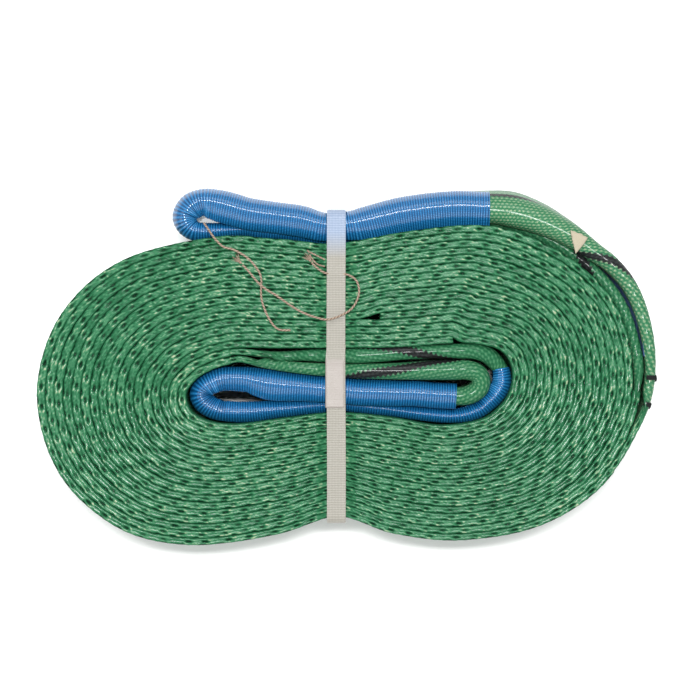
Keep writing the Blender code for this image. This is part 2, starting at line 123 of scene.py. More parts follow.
LOWER_LEG_FOLD = np.array([
    (7.79, 0), (7.82, 3), (7.85, 9), (7.881, 15.6), (7.905, 21), (7.94, 27), (7.97, 29), (8.2, 29),
], float)

# Sleeved stretches: x, y, fold height, half thickness, bulge of the upper part to the left
# and to the right, and where its ridge runs from left to right
INNER_SLEEVE = np.array([
    (71.2, -2, 56.5, 3.6, 0.6, 0.6, 0.5), (72, -8, 56, 3.8, 0.7, 0.7, 0.5),
    (70, -13, 55, 3.9, 0.7, 0.7, 0.5), (65.6, -17.7, 54, 3.7, 0.6, 0.6, 0.5),
    (60.3, -21.7, 53, 3.4, 0.5, 0.5, 0.5), (50.5, -24.3, 52, 3.2, 0.3, 0.2, 0.5),
    (38, -23.4, 51, 3.3, 0.2, 0, 0.5), (27.5, -22.1, 50, 3.3, 0.2, 0, 0.5),
    (15, -20.5, 50, 3.3, 0.2, 0, 0.5), (0, -19, 50, 3.3, 0.2, 0, 0.5),
    (-12.5, -19.3, 50, 3.5, 0.2, 0.2, 0.5), (-24, -20.5, 50.5, 3.7, 0.3, 0.5, 0.5),
    (-35.5, -21.7, 51.5, 4, 0.3, 0.8, 0.5), (-47, -22.6, 53, 4.4, 0.3, 1, 0.5),
    (-58.5, -22.1, 54, 4.5, 0.3, 0.9, 0.5), (-65, -18.8, 55, 4.8, 0.4, 0.5, 0.5),
    (-67.6, -14.2, 56, 5, 0.5, 0.3, 0.5), (-65.3, -10.2, 57, 4.9, 0.4, 0.2, 0.5),
    (-58.5, -7.4, 57.3, 5.3, 0.5, -0.2, 0.5), (-48.5, -7.4, 57.3, 5.6, 0.8, -0.7, 0.48),
    (-42, -8, 57.3, 5.6, 0.8, 1.6, 0.46), (-35.5, -8.7, 57.3, 5.5, 0.7, 3, 0.45),
    (-24, -9.7, 57.3, 5, 0.7, 3, 0.45), (-12.5, -10.4, 57.3, 4.3, 0.6, 3.4, 0.45),
    (0, -10.9, 57.3, 4.1, 0.4, 4.1, 0.46), (15, -12.5, 57.3, 4.5, 1, 2.8, 0.46),
    (27.5, -13.5, 57.3, 4.9, 1, 1.4, 0.46), (38, -14.4, 57.3, 5.2, 1, 0.8, 0.46),
    (50.5, -15, 57.3, 5.5, 0.8, 0.6, 0.46),
], float)
OUTER_SLEEVE = np.array([
    (-67.5, 61.6, 52, 3.9, 0.6, 0.3, 0.5), (-73, 63.4, 53, 4.5, 1, 0.3, 0.5),
    (-75, 68, 54.5, 5.3, 1.4, 0.3, 0.5), (-72.4, 73, 56, 6, 0.7, 0.3, 0.5),
    (-67, 75.2, 56.5, 6.2, 0.3, 0.6, 0.45), (-60.5, 74.8, 57, 6.3, 0.2, 2.4, 0.42),
    (-53, 73.3, 57, 6, 0.1, 3.6, 0.42), (-44.5, 71.7, 57, 5.5, 0.1, 4.4, 0.42),
    (-31, 70, 57, 4.8, 0.3, 5.2, 0.42), (-21.5, 69, 57, 4.4, 0.3, 6.2, 0.42),
    (-12.5, 67.3, 57, 3.5, 0.3, 6.9, 0.42), (-4.5, 66.7, 57, 3.3, 0.2, 6.6, 0.42),
    (2.5, 67.5, 57, 3.6, 0.3, 7, 0.42), (8.5, 69, 57, 4.1, 0.4, 7.6, 0.42),
    (24.5, 73, 57, 4.4, 0.2, 8.2, 0.42), (47.5, 75.5, 57, 4.5, 0.3, 7.8, 0.42),
    (66, 75.5, 57, 4.4, 0.3, 8, 0.42),
], float)

LABEL_ROUTE = np.array([(116.5, 49), (123.3, 41), (128.9, 32), (132.6, 22.5), (135.7, 12.5), (137, 3.5)])
FREE_STRAND = np.array([
    (-66, 65, -3), (-63.5, 61.5, -1), (-61, 58, 0), (-57, 54, 0), (-52, 52.5, 0), (-46, 49, 0),
    (-41.5, 44, 0), (-39.5, 39.5, 0), (-39.5, 31.5, 0), (-38, 25.5, 0), (-35, 19.5, 0),
    (-31.5, 16, 0), (-26, 15.5, 0),
])
STRAP_STRAND = np.array([
    (-48, 45.5, 0), (-45.5, 43, 0.4), (-42.5, 39.3, 1.1), (-39.6, 36.2, 1.4), (-36, 33.6, 0.9),
    (-32.5, 31.5, 0.2), (-26, 27, 0), (-21, 24, 0), (-14.5, 21.5, 0), (-8.5, 20.5, 0),
    (-1.5, 23, 0), (3, 26.5, 0), (5.5, 32.5, 0), (4.5, 38, -0.3), (0.6, 41, -1.2), (-4.5, 41.6, -1.6),
    (-9.6, 41.8, -1.2), (-13.5, 44, -0.2), (-16.3, 46.8, 0),
])
TWINE_RADIUS = 0.45
TAB_OUTLINE = np.array([(102.6, 61.7), (106.8, 60.2), (110.9, 58), (108.3, 54.4), (105.1, 50.6)])


def value_noise(x, seed, octaves=1):
    """Smooth repeatable noise from -1 to 1 along one axis."""
    total, size = np.zeros(np.shape(x)), 1.0
    for octave in range(octaves):
        table = np.random.default_rng(seed + octave).uniform(-1, 1, 4096)
        y = np.asarray(x) * 2 ** octave + 2048.0
        i = np.floor(y).astype(int)
        f = y - i
        f = f * f * (3 - 2 * f)
        total += size * (table[i % 4096] * (1 - f) + table[(i + 1) % 4096] * f)
        size *= 0.5
    return total


def smooth_step(x):
    x = np.clip(x, 0.0, 1.0)
    return x * x * (3 - 2 * x)


def spline(points, t, closed=False):
    """Catmull-Rom curve through rows of points; t counts points."""
    t = np.asarray(t, float)
    count = len(points)
    i = np.floor(t).astype(int)
    if not closed:
        i = np.clip(i, 0, count - 2)
    f = (t - i)[:, None]
    picks = [(i + k) % count if closed else np.clip(i + k, 0, count - 1) for k in (-1, 0, 1, 2)]
    p, q, r, s = (points[k] for k in picks)
    return q + 0.5 * f * (r - p + f * (2 * p - 5 * q + 4 * r - s + f * (3 * q - p - 3 * r + s)))


def evenly(rows, step, columns=2):
    """Rows of a fine curve picked at equal steps along it, with their distance along it."""
    d = np.linalg.norm(np.diff(rows[:, :columns], axis=0), axis=1)
    far = np.concatenate([[0], np.cumsum(d)])
    count = max(2, int(round(far[-1] / step)) + 1)
    at = np.linspace(0, far[-1], count)
    return np.stack([np.interp(at, far, column) for column in rows.T], axis=1), at


def stations(points, step, columns=2):
    fine = spline(points, np.linspace(0, len(points) - 1, 60 * len(points)))
    return evenly(fine, step, columns)


def right_normals(xy):
    d = np.gradient(xy, axis=0)
    d /= np.linalg.norm(d, axis=1)[:, None]
    return np.stack([d[:, 1], -d[:, 0]], axis=1)


# The coil's turns are counted from its middle. A ply number counts plies outwards, and steps
# at the two cut ends, where the splice's third ply begins and ends, carry through all turns.

def first_step(turn):
    return smooth_step((turn - SPLICE_START) / STEP_TURNS)


def second_step(turn):
    return smooth_step((turn - SPLICE_END) / STEP_TURNS)


def extra_plies(turn):
    total = np.zeros(np.shape(turn))
    for k in range(9):
        total += np.where(turn - k > 0, first_step(turn - k) - second_step(turn - k), 0)
    return total


def coil(turn, ply):
    """Place in the coil and the local distance between plies."""
    t = (turn % 1.0) * len(INNER_GUIDE)
    inner = spline(INNER_GUIDE, t, closed=True)
    outer = spline(OUTER_GUIDE, t, closed=True)
    pack = PACK_PLIES - 1 + extra_plies(turn % 1.0 + 5)
    place = inner + (outer - inner) * (ply / pack)[:, None]
    both = INNER_GUIDE + OUTER_GUIDE
    along = spline(both, t + 0.01, closed=True) - spline(both, t, closed=True)
    along /= np.linalg.norm(along, axis=1)[:, None]
    across = (outer - inner) / pack[:, None]
    pitch = np.abs(across[:, 0] * along[:, 1] - across[:, 1] * along[:, 0])
    return place, pitch


def start_ply(turn):
    return 2 * turn + 0.5 + extra_plies(turn - 1)


def end_ply(turn):
    return start_ply(turn) + first_step(turn)


def outer_ply(turn):
    return 2 * turn + 1.5 + extra_plies(turn)


def leg_ply(turn):
    return 2 * turn + 0.6 + extra_plies(turn - 1) + 0.4 * smooth_step((turn - INNER_PLY_LIFT) / 0.17)


def strap_dip(x, y):
    """How far the strap presses the webbing's edges down."""
    beside = smooth_step((np.abs(x - STRAP_X) - 4.7) / 4.5)
    return (STRAP_BITE + 0.1) * (1 - beside) * (np.abs(y + 1) < 76)


# ---------------------------------------------------------------- meshes

def grid_object(name, points, weave, material, caps=True):
    """Closed mesh of a grid of points (rows along the piece, columns round it), in millimetres."""
    n, m = points.shape[:2]
    xyz = points.reshape(-1, 3).copy()
    xyz[:, :2] -= MIDDLE
    index = np.arange(n * m).reshape(n, m)
    nxt = np.roll(index, -1, axis=1)
    faces = np.stack([index[:-1], nxt[:-1], nxt[1:], index[1:]], axis=-1).reshape(-1, 4).tolist()
    if caps:
        faces += [list(range(m))[::-1], list(range((n - 1) * m, n * m))]
    mesh = bpy.data.meshes.new(name)
    mesh.from_pydata((xyz * MM).tolist(), [], faces)
    layer = mesh.attributes.new("weave", "FLOAT_VECTOR", "POINT")
    layer.data.foreach_set("vector", weave.reshape(-1).astype(np.float32))
    mesh.polygons.foreach_set("use_smooth", [True] * len(mesh.polygons))
    mesh.materials.append(material)
    mesh.update()
    obj = link(bpy.data.objects.new(name, mesh))
    fix_normals(obj)
    return obj


def link(obj):
    bpy.context.scene.collection.objects.link(obj)
    return obj


def fix_normals(obj):
    bm = bmesh.new()
    bm.from_mesh(obj.data)
    bmesh.ops.recalc_face_normals(bm, faces=bm.faces)
    bm.to_mesh(obj.data)
    bm.free()


# Profile of the selvedge, across its half thickness: height over the edge, and tone, which is
# painted shade: darker down the sides where neighbouring plies meet, lighter over the crown
CAP = np.array([-1, -0.88, -0.62, -0.36, -0.17, 0, 0.17, 0.36, 0.62, 0.88, 1.0])
CAP_HEIGHT = np.array([-0.55, -0.26, -0.04, -0.02, -0.1, -0.16, -0.1, -0.02, -0.04, -0.26, -0.55])
CAP_PAINTED_SHADE = np.array([0.34, 0.42, 0.52, 0.54, 0.48, 0.44, 0.48, 0.54, 0.52, 0.42, 0.34])


def selvedge(u, mid, side, seed):
    """Height and tone of the selvedge across its thickness: rows of holes between loops. The tone is
    painted shade in the holes and down the sides, painted highlight on knots, hole rims and loop crests,
    with random speckle.
    """
    n = len(u)
    rng = np.random.default_rng(seed)
    height = np.tile(CAP_HEIGHT, (n, 1))
    tone = np.tile(CAP_PAINTED_SHADE, (n, 1))
    hole_rows = ((0.0, 0.28, 1.7 * mid, 0.0), (1.0, 0.34, 1.3 * side, 0.27))
    for row, (centre, spread, depth, phase) in enumerate(hole_rows):
        at = u / HOLE_PITCH + phase + 0.12 * value_noise(u / 31, seed + 3 * row)
        k = np.floor(at + 0.5).astype(int)
        strength = 0.4 + 0.75 * rng.random(8192)[k % 8192]
        slide = 0.25 * (rng.random(8192)[k % 8192] - 0.5)
        d = (at - k - slide) * HOLE_PITCH
        hole = np.exp(-(d / HOLE_HALF) ** 4) * np.minimum(strength, 1)
        near = np.exp(-((CAP - centre) / spread) ** 2)
        rim = np.exp(-((np.abs(CAP - centre) - 2 * spread) / (0.6 * spread)) ** 2)
        around = np.exp(-(d / (1.9 * HOLE_HALF)) ** 4) * np.minimum(strength, 1)
        height -= depth * hole[:, None] * near
        # Painted shade darkens each hole and painted highlight lightens the ring round it
        tone -= 0.8 * min(depth, 1.2) * hole[:, None] * near
        tone += 0.16 * min(depth, 1) * around[:, None] * rim
        knot = np.exp(-((np.abs(d) - 2.3) / 0.8) ** 2) * strength * (0.5 + 0.5 * np.sign(d))
        beside = np.exp(-((CAP - centre + 0.3) / 0.24) ** 2)
        beside += 0.5 * np.exp(-((CAP - centre - 0.36) / 0.2) ** 2)
        middle = np.exp(-((np.abs(d) - HOLE_PITCH / 2) / 1.3) ** 2) * np.clip(1.5 - strength, 0, 1)
        height += 0.25 * knot[:, None] * beside * min(depth, 1)
        # Painted highlight on the raised knots beside each hole
        tone += 0.44 * knot[:, None] * beside * min(depth, 1)
        tone += 0.26 * middle[:, None] * near * min(depth, 1)
    loops = np.sin(2 * np.pi * u / (HOLE_PITCH / 4) + 2 * value_noise(u / 7, seed + 11))
    height += 0.07 * loops[:, None] * np.cos(CAP * 5)
    # Painted light: lighter on the loops' crests, darker in their hollows
    tone += 0.11 * loops[:, None] * np.cos(CAP * 5)
    tone += 0.1 * rng.normal(size=tone.shape) + 0.1 * value_noise(u / 3.1, seed + 5)[:, None]
    tone += 0.08 * value_noise(u / 40, seed + 6)[:, None]
    return height, np.clip(tone, 0, 1)


def strip(name, xy, top, fold, half, lean, thick, u, across, material, mid, side, seed, painted_face_light):
    """Webbing on edge, its top part folded over to the right by the folded-over length."""
    n = len(xy)
    normal = right_normals(xy)
    radius = np.maximum(half - thick / 2, 1.0)
    shut = smooth_step(fold / 9)
    wall = -radius * shut
    start = WEB_WIDTH - fold
    v = across[None, :].repeat(n, 0)

    def folded(v):
        """Middle line of the folded webbing at a width v, and the direction of its normal."""
        angle = np.clip((v - start[:, None]) / radius[:, None], 0, np.pi)
        over = np.maximum(v - start[:, None] - np.pi * radius[:, None], 0)
        w = wall[:, None] + radius[:, None] * (1 - np.cos(angle))
        z = np.minimum(v, start[:, None]) + radius[:, None] * np.sin(angle) - over
        return w, z, -np.cos(angle), np.sin(angle)

    h = thick[:, None] / 2
    height, tone = selvedge(u, mid, side, seed)
    w, z, nw, nz = (part[:, -1:] for part in folded(v))
    wander = 2 * np.pi * u / (HOLE_PITCH / 2) + 2 * value_noise(u / 23, seed + 8)
    swell = 0.99 + 0.05 * np.sin(wander)[:, None]
    cap_w = w - nw * h * CAP * swell + nz * height
    cap_z = z - nz * h * CAP * swell - nw * height
    w, z, nw, nz = folded(np.minimum(v, WEB_WIDTH - CAP_START))
    ws = np.concatenate([w + nw * h, cap_w, (w - nw * h)[:, ::-1]], axis=1)
    zs = np.concatenate([z + nz * h, cap_z, (z - nz * h)[:, ::-1]], axis=1)
    vs = np.concatenate([v, np.full((n, len(CAP)), CAP_V), BACK_V + v[:, ::-1]], axis=1)
    # The faces take the piece's painted light, set per piece; the selvedge takes its painted shade and
    # highlight
    painted_flat_light = np.full((n, len(across)), painted_face_light)
    painted_tones = np.concatenate([painted_flat_light, tone, painted_flat_light], axis=1)
    folded_rise, open_rise = top - zs.max(axis=1), top - WEB_WIDTH
    zs += (folded_rise * shut + open_rise * (1 - shut))[:, None]
    ws += (lean * shut)[:, None] * np.clip((zs - 30) / 25, 0, 1)
    points = np.stack([
        xy[:, :1] + normal[:, :1] * ws,
        xy[:, 1:] + normal[:, 1:] * ws,
        np.maximum(zs, 0),
    ], axis=-1)
    dip = strap_dip(points[..., 0], points[..., 1])
    points[..., 2] -= dip * smooth_step((points[..., 2] - 40) / 18)
    weave = np.stack([np.broadcast_to(u[:, None], vs.shape), vs, painted_tones], axis=-1)
    return grid_object(name, points, weave, material)


def coil_strip(name, ply, first, last, material, mid, seed, across):
    """A ply of the coil between two turns."""
    turn = np.linspace(first, last, int((last - first) * TURN_SAMPLES) + 2)
    place, pitch = coil(turn, ply(turn))
    common, _ = coil(turn, 2 * turn + 1)
    d = np.concatenate([[0], np.cumsum(np.linalg.norm(np.diff(common, axis=0), axis=1))])
    rows = np.stack([place[:, 0], place[:, 1], pitch, turn, d + first * MEAN_TURN], axis=1)
    rows, _ = evenly(rows, COIL_STEP)
    xy = rows[:, :2].copy()
    turn, u = rows[:, 3], rows[:, 4]
    xy += right_normals(xy) * (0.14 * value_noise(u / 17, seed))[:, None]
    top = WEB_WIDTH + 0.28 * value_noise(u / 45, seed + 1) + 0.3 * value_noise(turn * 0.4, seed + 2)
    zero = np.zeros(len(xy))
    thick = rows[:, 2] * 0.985
    half = thick / 2 + 0.01
    # The coil's faces take the middle painted light tone
    return strip(name, xy, top, zero, half, zero, thick, u, across, material, mid, 1.0, seed, 0.5)


def folded_strip(name, table, step, material, seed, painted_face_light):
    """Bare stretch outside the coil, folded as its table says."""
    rows, u = stations(table, step)
    across = np.concatenate([np.linspace(0, 16, 5), np.linspace(18, WEB_WIDTH, 36)])
    top, fold, half, lean = rows[:, 2:].T
    thick = np.minimum(2.9, half * 1.75)
    return strip(name, rows[:, :2], top, np.maximum(fold, 0), half, lean, thick, u + 1000,
                 across, material, 1.0, 0.5, seed, painted_face_light)


# ---------------------------------------------------------------- materials

def srgb(r, g, b):
    values = [c / 255 for c in (r, g, b)]
    return (*(c / 12.92 if c <= 0.04045 else ((c + 0.055) / 1.055) ** 2.4 for c in values), 1.0)


class Nodes:
    """Short way to build a material's node tree."""

    def __init__(self, name):
        self.material = bpy.data.materials.new(name)
        self.material.use_nodes = True
        self.tree = self.material.node_tree
        self.shader = self.tree.nodes["Principled BSDF"]

    def new(self, kind, inputs=(), **settings):
        node = self.tree.nodes.new(kind)
        for key, value in settings.items():
            setattr(node, key, value)
        for key, value in dict(inputs).items():
            if isinstance(value, bpy.types.NodeSocket):
                self.tree.links.new(value, node.inputs[key])
            else:
                node.inputs[key].default_value = value
        return node

    def math(self, operation, a, b=0.0, c=0.0, clamp=False):
        node = self.new("ShaderNodeMath", {0: a, 1: b, 2: c}, operation=operation, use_clamp=clamp)
        return node.outputs[0]

    def mix(self, factor, a, b):
        node = self.new("ShaderNodeMix", {0: factor, 6: a, 7: b}, data_type="RGBA")
        return node.outputs[2]

    def noise(self, scale, detail=3.0):
        return self.new("ShaderNodeTexNoise", {"Scale": scale, "Detail": detail}).outputs["Fac"]

    def weave(self):
        """Length along the piece, way round it and tone, from the mesh; the tone is mostly painted shade
        and highlight.
        """
        vector = self.new("ShaderNodeAttribute", attribute_name="weave").outputs["Vector"]
        return self.new("ShaderNodeSeparateXYZ", {0: vector}).outputs

    def ramp(self, value, stops):
        node = self.new("ShaderNodeValToRGB", {0: value})
        band = node.color_ramp
        while len(band.elements) < len(stops):
            band.elements.new(0.5)
        for element, (position, colour) in zip(band.elements, stops):
            element.position = position
            element.color = colour
        return node.outputs[0]

    def wave(self, value, period, offset=0.0):
        """Sine of a length in millimetres, from -1 to 1."""
        return self.math("SINE", self.math("MULTIPLY_ADD", value, 2 * math.pi / period, offset))

    def band(self, value, centre, half, soft):
        """1 within half of the centre, falling to 0 over soft."""
        away = self.math("ABSOLUTE", self.math("SUBTRACT", value, centre))
        return self.math("DIVIDE", self.math("SUBTRACT", half + soft, away), soft, clamp=True)

    def finish(self, colour, roughness, height=None, strength=0.5, distance=0.0003, **constants):
        self.tree.links.new(colour, self.shader.inputs["Base Color"])
        if isinstance(roughness, bpy.types.NodeSocket):
            self.tree.links.new(roughness, self.shader.inputs["Roughness"])
        else:
            self.shader.inputs["Roughness"].default_value = roughness
        if height is not None:
            inputs = {"Height": height, "Strength": strength, "Distance": distance}
            bump = self.new("ShaderNodeBump", inputs)
            self.tree.links.new(bump.outputs[0], self.shader.inputs["Normal"])
        for key, value in constants.items():
            self.shader.inputs[key.replace("_", " ")].default_value = value
        return self.material


def webbing_material():
    n = Nodes("green_webbing")
    u, v, tone = n.weave()
    row = n.math("FLOOR", n.math("DIVIDE", v, FACE_RIB))
    drift = n.math("MULTIPLY_ADD", n.noise(260.0, 2.0), 2.4, u)
    dash = n.wave(n.math("MULTIPLY_ADD", row, 0.9, drift), 2.1)
    rib = n.wave(v, FACE_RIB, -math.pi / 2)
    face = n.math("MULTIPLY", n.math("MULTIPLY_ADD", dash, 0.6, n.math("MULTIPLY", rib, 0.6)), 0.19)
    edge = n.band(v, CAP_V, 4, 10)
    grain = n.noise(1500.0, 4.0)
    patch = n.noise(120.0, 3.0)
    broken = n.math("MULTIPLY", n.noise(520.0, 2.0), 1.9)
    patchy = n.math("MULTIPLY", face, broken)
    # The tone from the mesh carries the selvedge's painted shade and highlight and the faces' painted
    # light
    detail = n.math("MULTIPLY_ADD", patchy, n.math("SUBTRACT", 1.0, edge), tone)
    detail = n.math("ADD", detail, n.math("MULTIPLY_ADD", grain, 0.4, -0.2))
    detail = n.math("ADD", detail, n.math("MULTIPLY_ADD", patch, 0.3, -0.15))
    green = n.ramp(detail, [
        (0.02, srgb(4, 42, 23)), (0.25, srgb(12, 71, 40)), (0.5, srgb(29, 93, 59)),
        (0.75, srgb(62, 121, 85)), (0.97, srgb(156, 166, 136)),
    ])
    rough = n.math("MULTIPLY_ADD", grain, 1.2, -0.6)
    ragged = n.math("ADD", v, n.math("MULTIPLY_ADD", n.wave(u, 2.3), 0.35, rough))
    stripe = n.math("MAXIMUM", *(n.band(ragged, at, STRIPE_HALF, 0.3) for at in STRIPES))
    black = n.ramp(detail, [(0.1, srgb(4, 5, 5)), (0.55, srgb(15, 18, 19)), (0.95, srgb(46, 52, 51))])
    colour = n.mix(stripe, green, black)
    height = n.math("ADD", n.math("MULTIPLY", face, 1.4), n.math("MULTIPLY", grain, 0.8))
    return n.finish(colour, 0.55, height, 0.6, 0.0004,
                    Specular_IOR_Level=0.12, Coat_Weight=0.22, Coat_Roughness=0.17)


def sleeve_material():
    n = Nodes("blue_sleeve")
    u, v, tone = n.weave()
    rib = n.wave(u, SLEEVE_RIB)
    dots = n.wave(v, 0.85)
    raised, dotted = (n.math("MULTIPLY_ADD", wave, 0.5, 0.5) for wave in (rib, dots))
    weft = n.math("MULTIPLY", raised, dotted)
    grain = n.noise(1300.0, 3.0)
    patch = n.noise(90.0, 3.0)
    # The tone from the mesh is painted shade and highlight over the sleeve's wrinkles
    detail = n.math("ADD", tone, n.math("MULTIPLY_ADD", rib, 0.17, n.math("MULTIPLY", weft, 0.24)))
    detail = n.math("ADD", detail, n.math("MULTIPLY_ADD", grain, 0.26, -0.17))
    detail = n.math("ADD", detail, n.math("MULTIPLY_ADD", patch, 0.28, -0.14))
    colour = n.ramp(detail, [
        (0.05, srgb(3, 34, 64)), (0.35, srgb(6, 69, 115)), (0.6, srgb(14, 97, 150)),
        (0.85, srgb(46, 130, 186)), (1.0, srgb(128, 186, 226)),
    ])
    height = n.math("ADD", n.math("MULTIPLY", weft, 1.3), n.math("MULTIPLY", grain, 0.4))
    return n.finish(colour, 0.3, height, 0.5, 0.0003,
                    Specular_IOR_Level=0.15, Coat_Weight=1.0, Coat_Roughness=0.17)


def strap_material():
    n = Nodes("strap_white")
    u, v, tone = n.weave()
    slant = n.math("MULTIPLY", v, EMBOSS_SLANT)
    cross = n.math("MULTIPLY", n.wave(n.math("ADD", u, slant), EMBOSS_PITCH),
                   n.wave(n.math("SUBTRACT", u, slant), EMBOSS_PITCH))
    lozenge = n.math("MULTIPLY", n.math("MULTIPLY_ADD", cross, 0.5, 0.5), tone)
    grain = n.noise(400.0, 3.0)
    detail = n.math("MULTIPLY_ADD", lozenge, 0.55, n.math("MULTIPLY", grain, 0.4))
    plain = n.ramp(detail, [
        (0.1, srgb(120, 117, 109)), (0.5, srgb(141, 138, 129)), (0.9, srgb(160, 157, 148)),
    ])
    # Painted light: the bluer copy of the band's colour, used over the sleeve
    blue = n.ramp(detail, [
        (0.1, srgb(110, 126, 151)), (0.5, srgb(134, 148, 170)), (0.9, srgb(157, 169, 188)),
    ])
    place = n.new("ShaderNodeTexCoord").outputs["Object"]
    y = n.new("ShaderNodeSeparateXYZ", {0: place}).outputs[1]
    # Painted light: the translucent band is tinted bluer where it lies over the blue sleeve, for the
    # sleeve's blue light coming through it
    painted_sleeve_light = n.math("DIVIDE", n.math("SUBTRACT", y, 0.050), 0.012, clamp=True)
    weld = n.math("SUBTRACT", 1.0, tone)
    colour = n.mix(weld, n.mix(painted_sleeve_light, plain, blue), srgb(143, 135, 130))
    height = n.math("MULTIPLY_ADD", lozenge, 1.0, n.math("MULTIPLY", grain, 0.3))
    return n.finish(colour, 0.3, height, 0.6, 0.00025, Specular_IOR_Level=0.4)


def cloth_material(name, dark, light, scale=900.0, roughness=0.7, strength=0.4):
    n = Nodes(name)
    grain = n.noise(scale, 4.0)
    colour = n.ramp(grain, [(0.3, srgb(*dark)), (0.7, srgb(*light))])
    return n.finish(colour, roughness, grain, strength, 0.0003, Specular_IOR_Level=0.2)


def twine_material():
    n = Nodes("twine_brown")
    tone = n.weave()[2]
    grain = n.noise(2600.0, 4.0)
    # The tone from the mesh is painted shade and highlight over the twine's plies; on the tufts it
    # differs at random
    detail = n.math("ADD", tone, n.math("MULTIPLY_ADD", grain, 0.7, -0.35))
    colour = n.ramp(detail, [
        (0.1, srgb(70, 58, 48)), (0.5, srgb(138, 118, 102)), (0.9, srgb(196, 180, 164)),
    ])
    return n.finish(colour, 0.85, grain, 0.6, 0.0003, Specular_IOR_Level=0.2)


GREEN = webbing_material()
BLUE = sleeve_material()
STRAP = strap_material()
NAVY = cloth_material("label_blue", (60, 86, 132), (96, 124, 170), 1100.0, 0.5)
CREAM = cloth_material("tab_cream", (152, 144, 124), (178, 170, 150), 1400.0, 0.75, 0.6)
BLACK = cloth_material("black_thread", (10, 11, 12), (34, 37, 38), 2400.0, 0.6, 0.7)
GREEN_THREAD = cloth_material("green_thread", (44, 96, 64), (96, 152, 116), 2400.0, 0.6, 0.7)
TWINE = twine_material()

# ---------------------------------------------------------------- coil

# Widths at which the hidden faces of the coil's plies have vertices
FEW = np.array([0, 4, 20, 40, 52, 57.5, 60.0])
# Name, CAD node, ply, first and last turn, and depth of the holes along the middle
coil_parts = [
    ("start_inner", "webbing_start_ply", start_ply, SPLICE_START + 0.62 * STEP_TURNS, 4.6, 0.55),
    ("start_outer", "webbing_start_ply", start_ply, 4.6, INNER_PLY_LIFT + 0.005, 0.55),
    ("back_inner", "webbing_back_ply", outer_ply, FLAT_START, 4.2, 1.0),
    ("back_outer", "webbing_back_ply", outer_ply, 4.2, OUTER_PLY_END + 0.005, 1.0),
    ("end", "webbing_end_ply", end_ply, FLAT_START, SPLICE_END + 0.003, 0.7),
]
for number, (name, node, ply, first, last, mid) in enumerate(coil_parts):
    cloth = coil_strip("cloth_" + name, ply, first, last, GREEN, mid, 40 + 7 * number, FEW)
    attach(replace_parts(cloth, node), "root")


def with_coil_end(table, ply, turns, at_end):
    """A bare stretch carried on along a ply of the coil."""
    turn = np.array(turns)
    place, pitch = coil(turn, ply(turn))
    top_and_fold = np.full((len(turn), 2), (WEB_WIDTH, 0.0))
    rows = np.column_stack([place, top_and_fold, pitch * 0.485, 0 * turn])
    return np.concatenate([table, rows] if at_end else [rows, table])


OUTER_MOUTH = with_coil_end(OUTER_MOUTH, outer_ply, (7.775, 7.764, 7.753), True)
lap = (FLAT_START - 0.012, FLAT_START + 0.001)
INNER_MOUTH_OUT = with_coil_end(INNER_MOUTH_OUT, outer_ply, lap[::-1], False)
INNER_MOUTH_IN = with_coil_end(INNER_MOUTH_IN, end_ply, lap, True)

turn = np.linspace(INNER_PLY_LIFT, LOWER_LEG_END, 300)
place, pitch = coil(turn, leg_ply(turn))
fold = np.interp(turn, LOWER_LEG_FOLD[:, 0], LOWER_LEG_FOLD[:, 1])
rise = smooth_step((turn - INNER_PLY_LIFT) / 0.17)
half = pitch * 0.465 * (1 - rise) + 3.0 * rise
half = np.clip(half + 0.9 * smooth_step(fold / 12) * (1 - rise), 1.5, 3.0)
leg_rows = np.stack([place[:, 0], place[:, 1], WEB_WIDTH - 10 * rise, fold, half, 0 * fold], axis=1)
leg_rows = leg_rows[turn < 8.0]
# The last number is the painted light on each piece's faces, lighter where a piece lies in more light
for name, node, table, step, seed, painted_face_light in (
    ("lower_leg", "webbing_outer_eye", leg_rows, 0.9, 301, 0.58),
    ("outer_mouth", "webbing_outer_eye", OUTER_MOUTH, 0.9, 311, 0.7),
    ("inner_mouth_out", "webbing_inner_eye", INNER_MOUTH_OUT, 0.9, 321, 0.54),
    ("inner_mouth_in", "webbing_inner_eye", INNER_MOUTH_IN, 0.8, 331, 0.6),
):
    belt = folded_strip("cloth_" + name, table, step, GREEN, seed, painted_face_light)
    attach(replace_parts(belt, node), "root")


# ---------------------------------------------------------------- sleeves

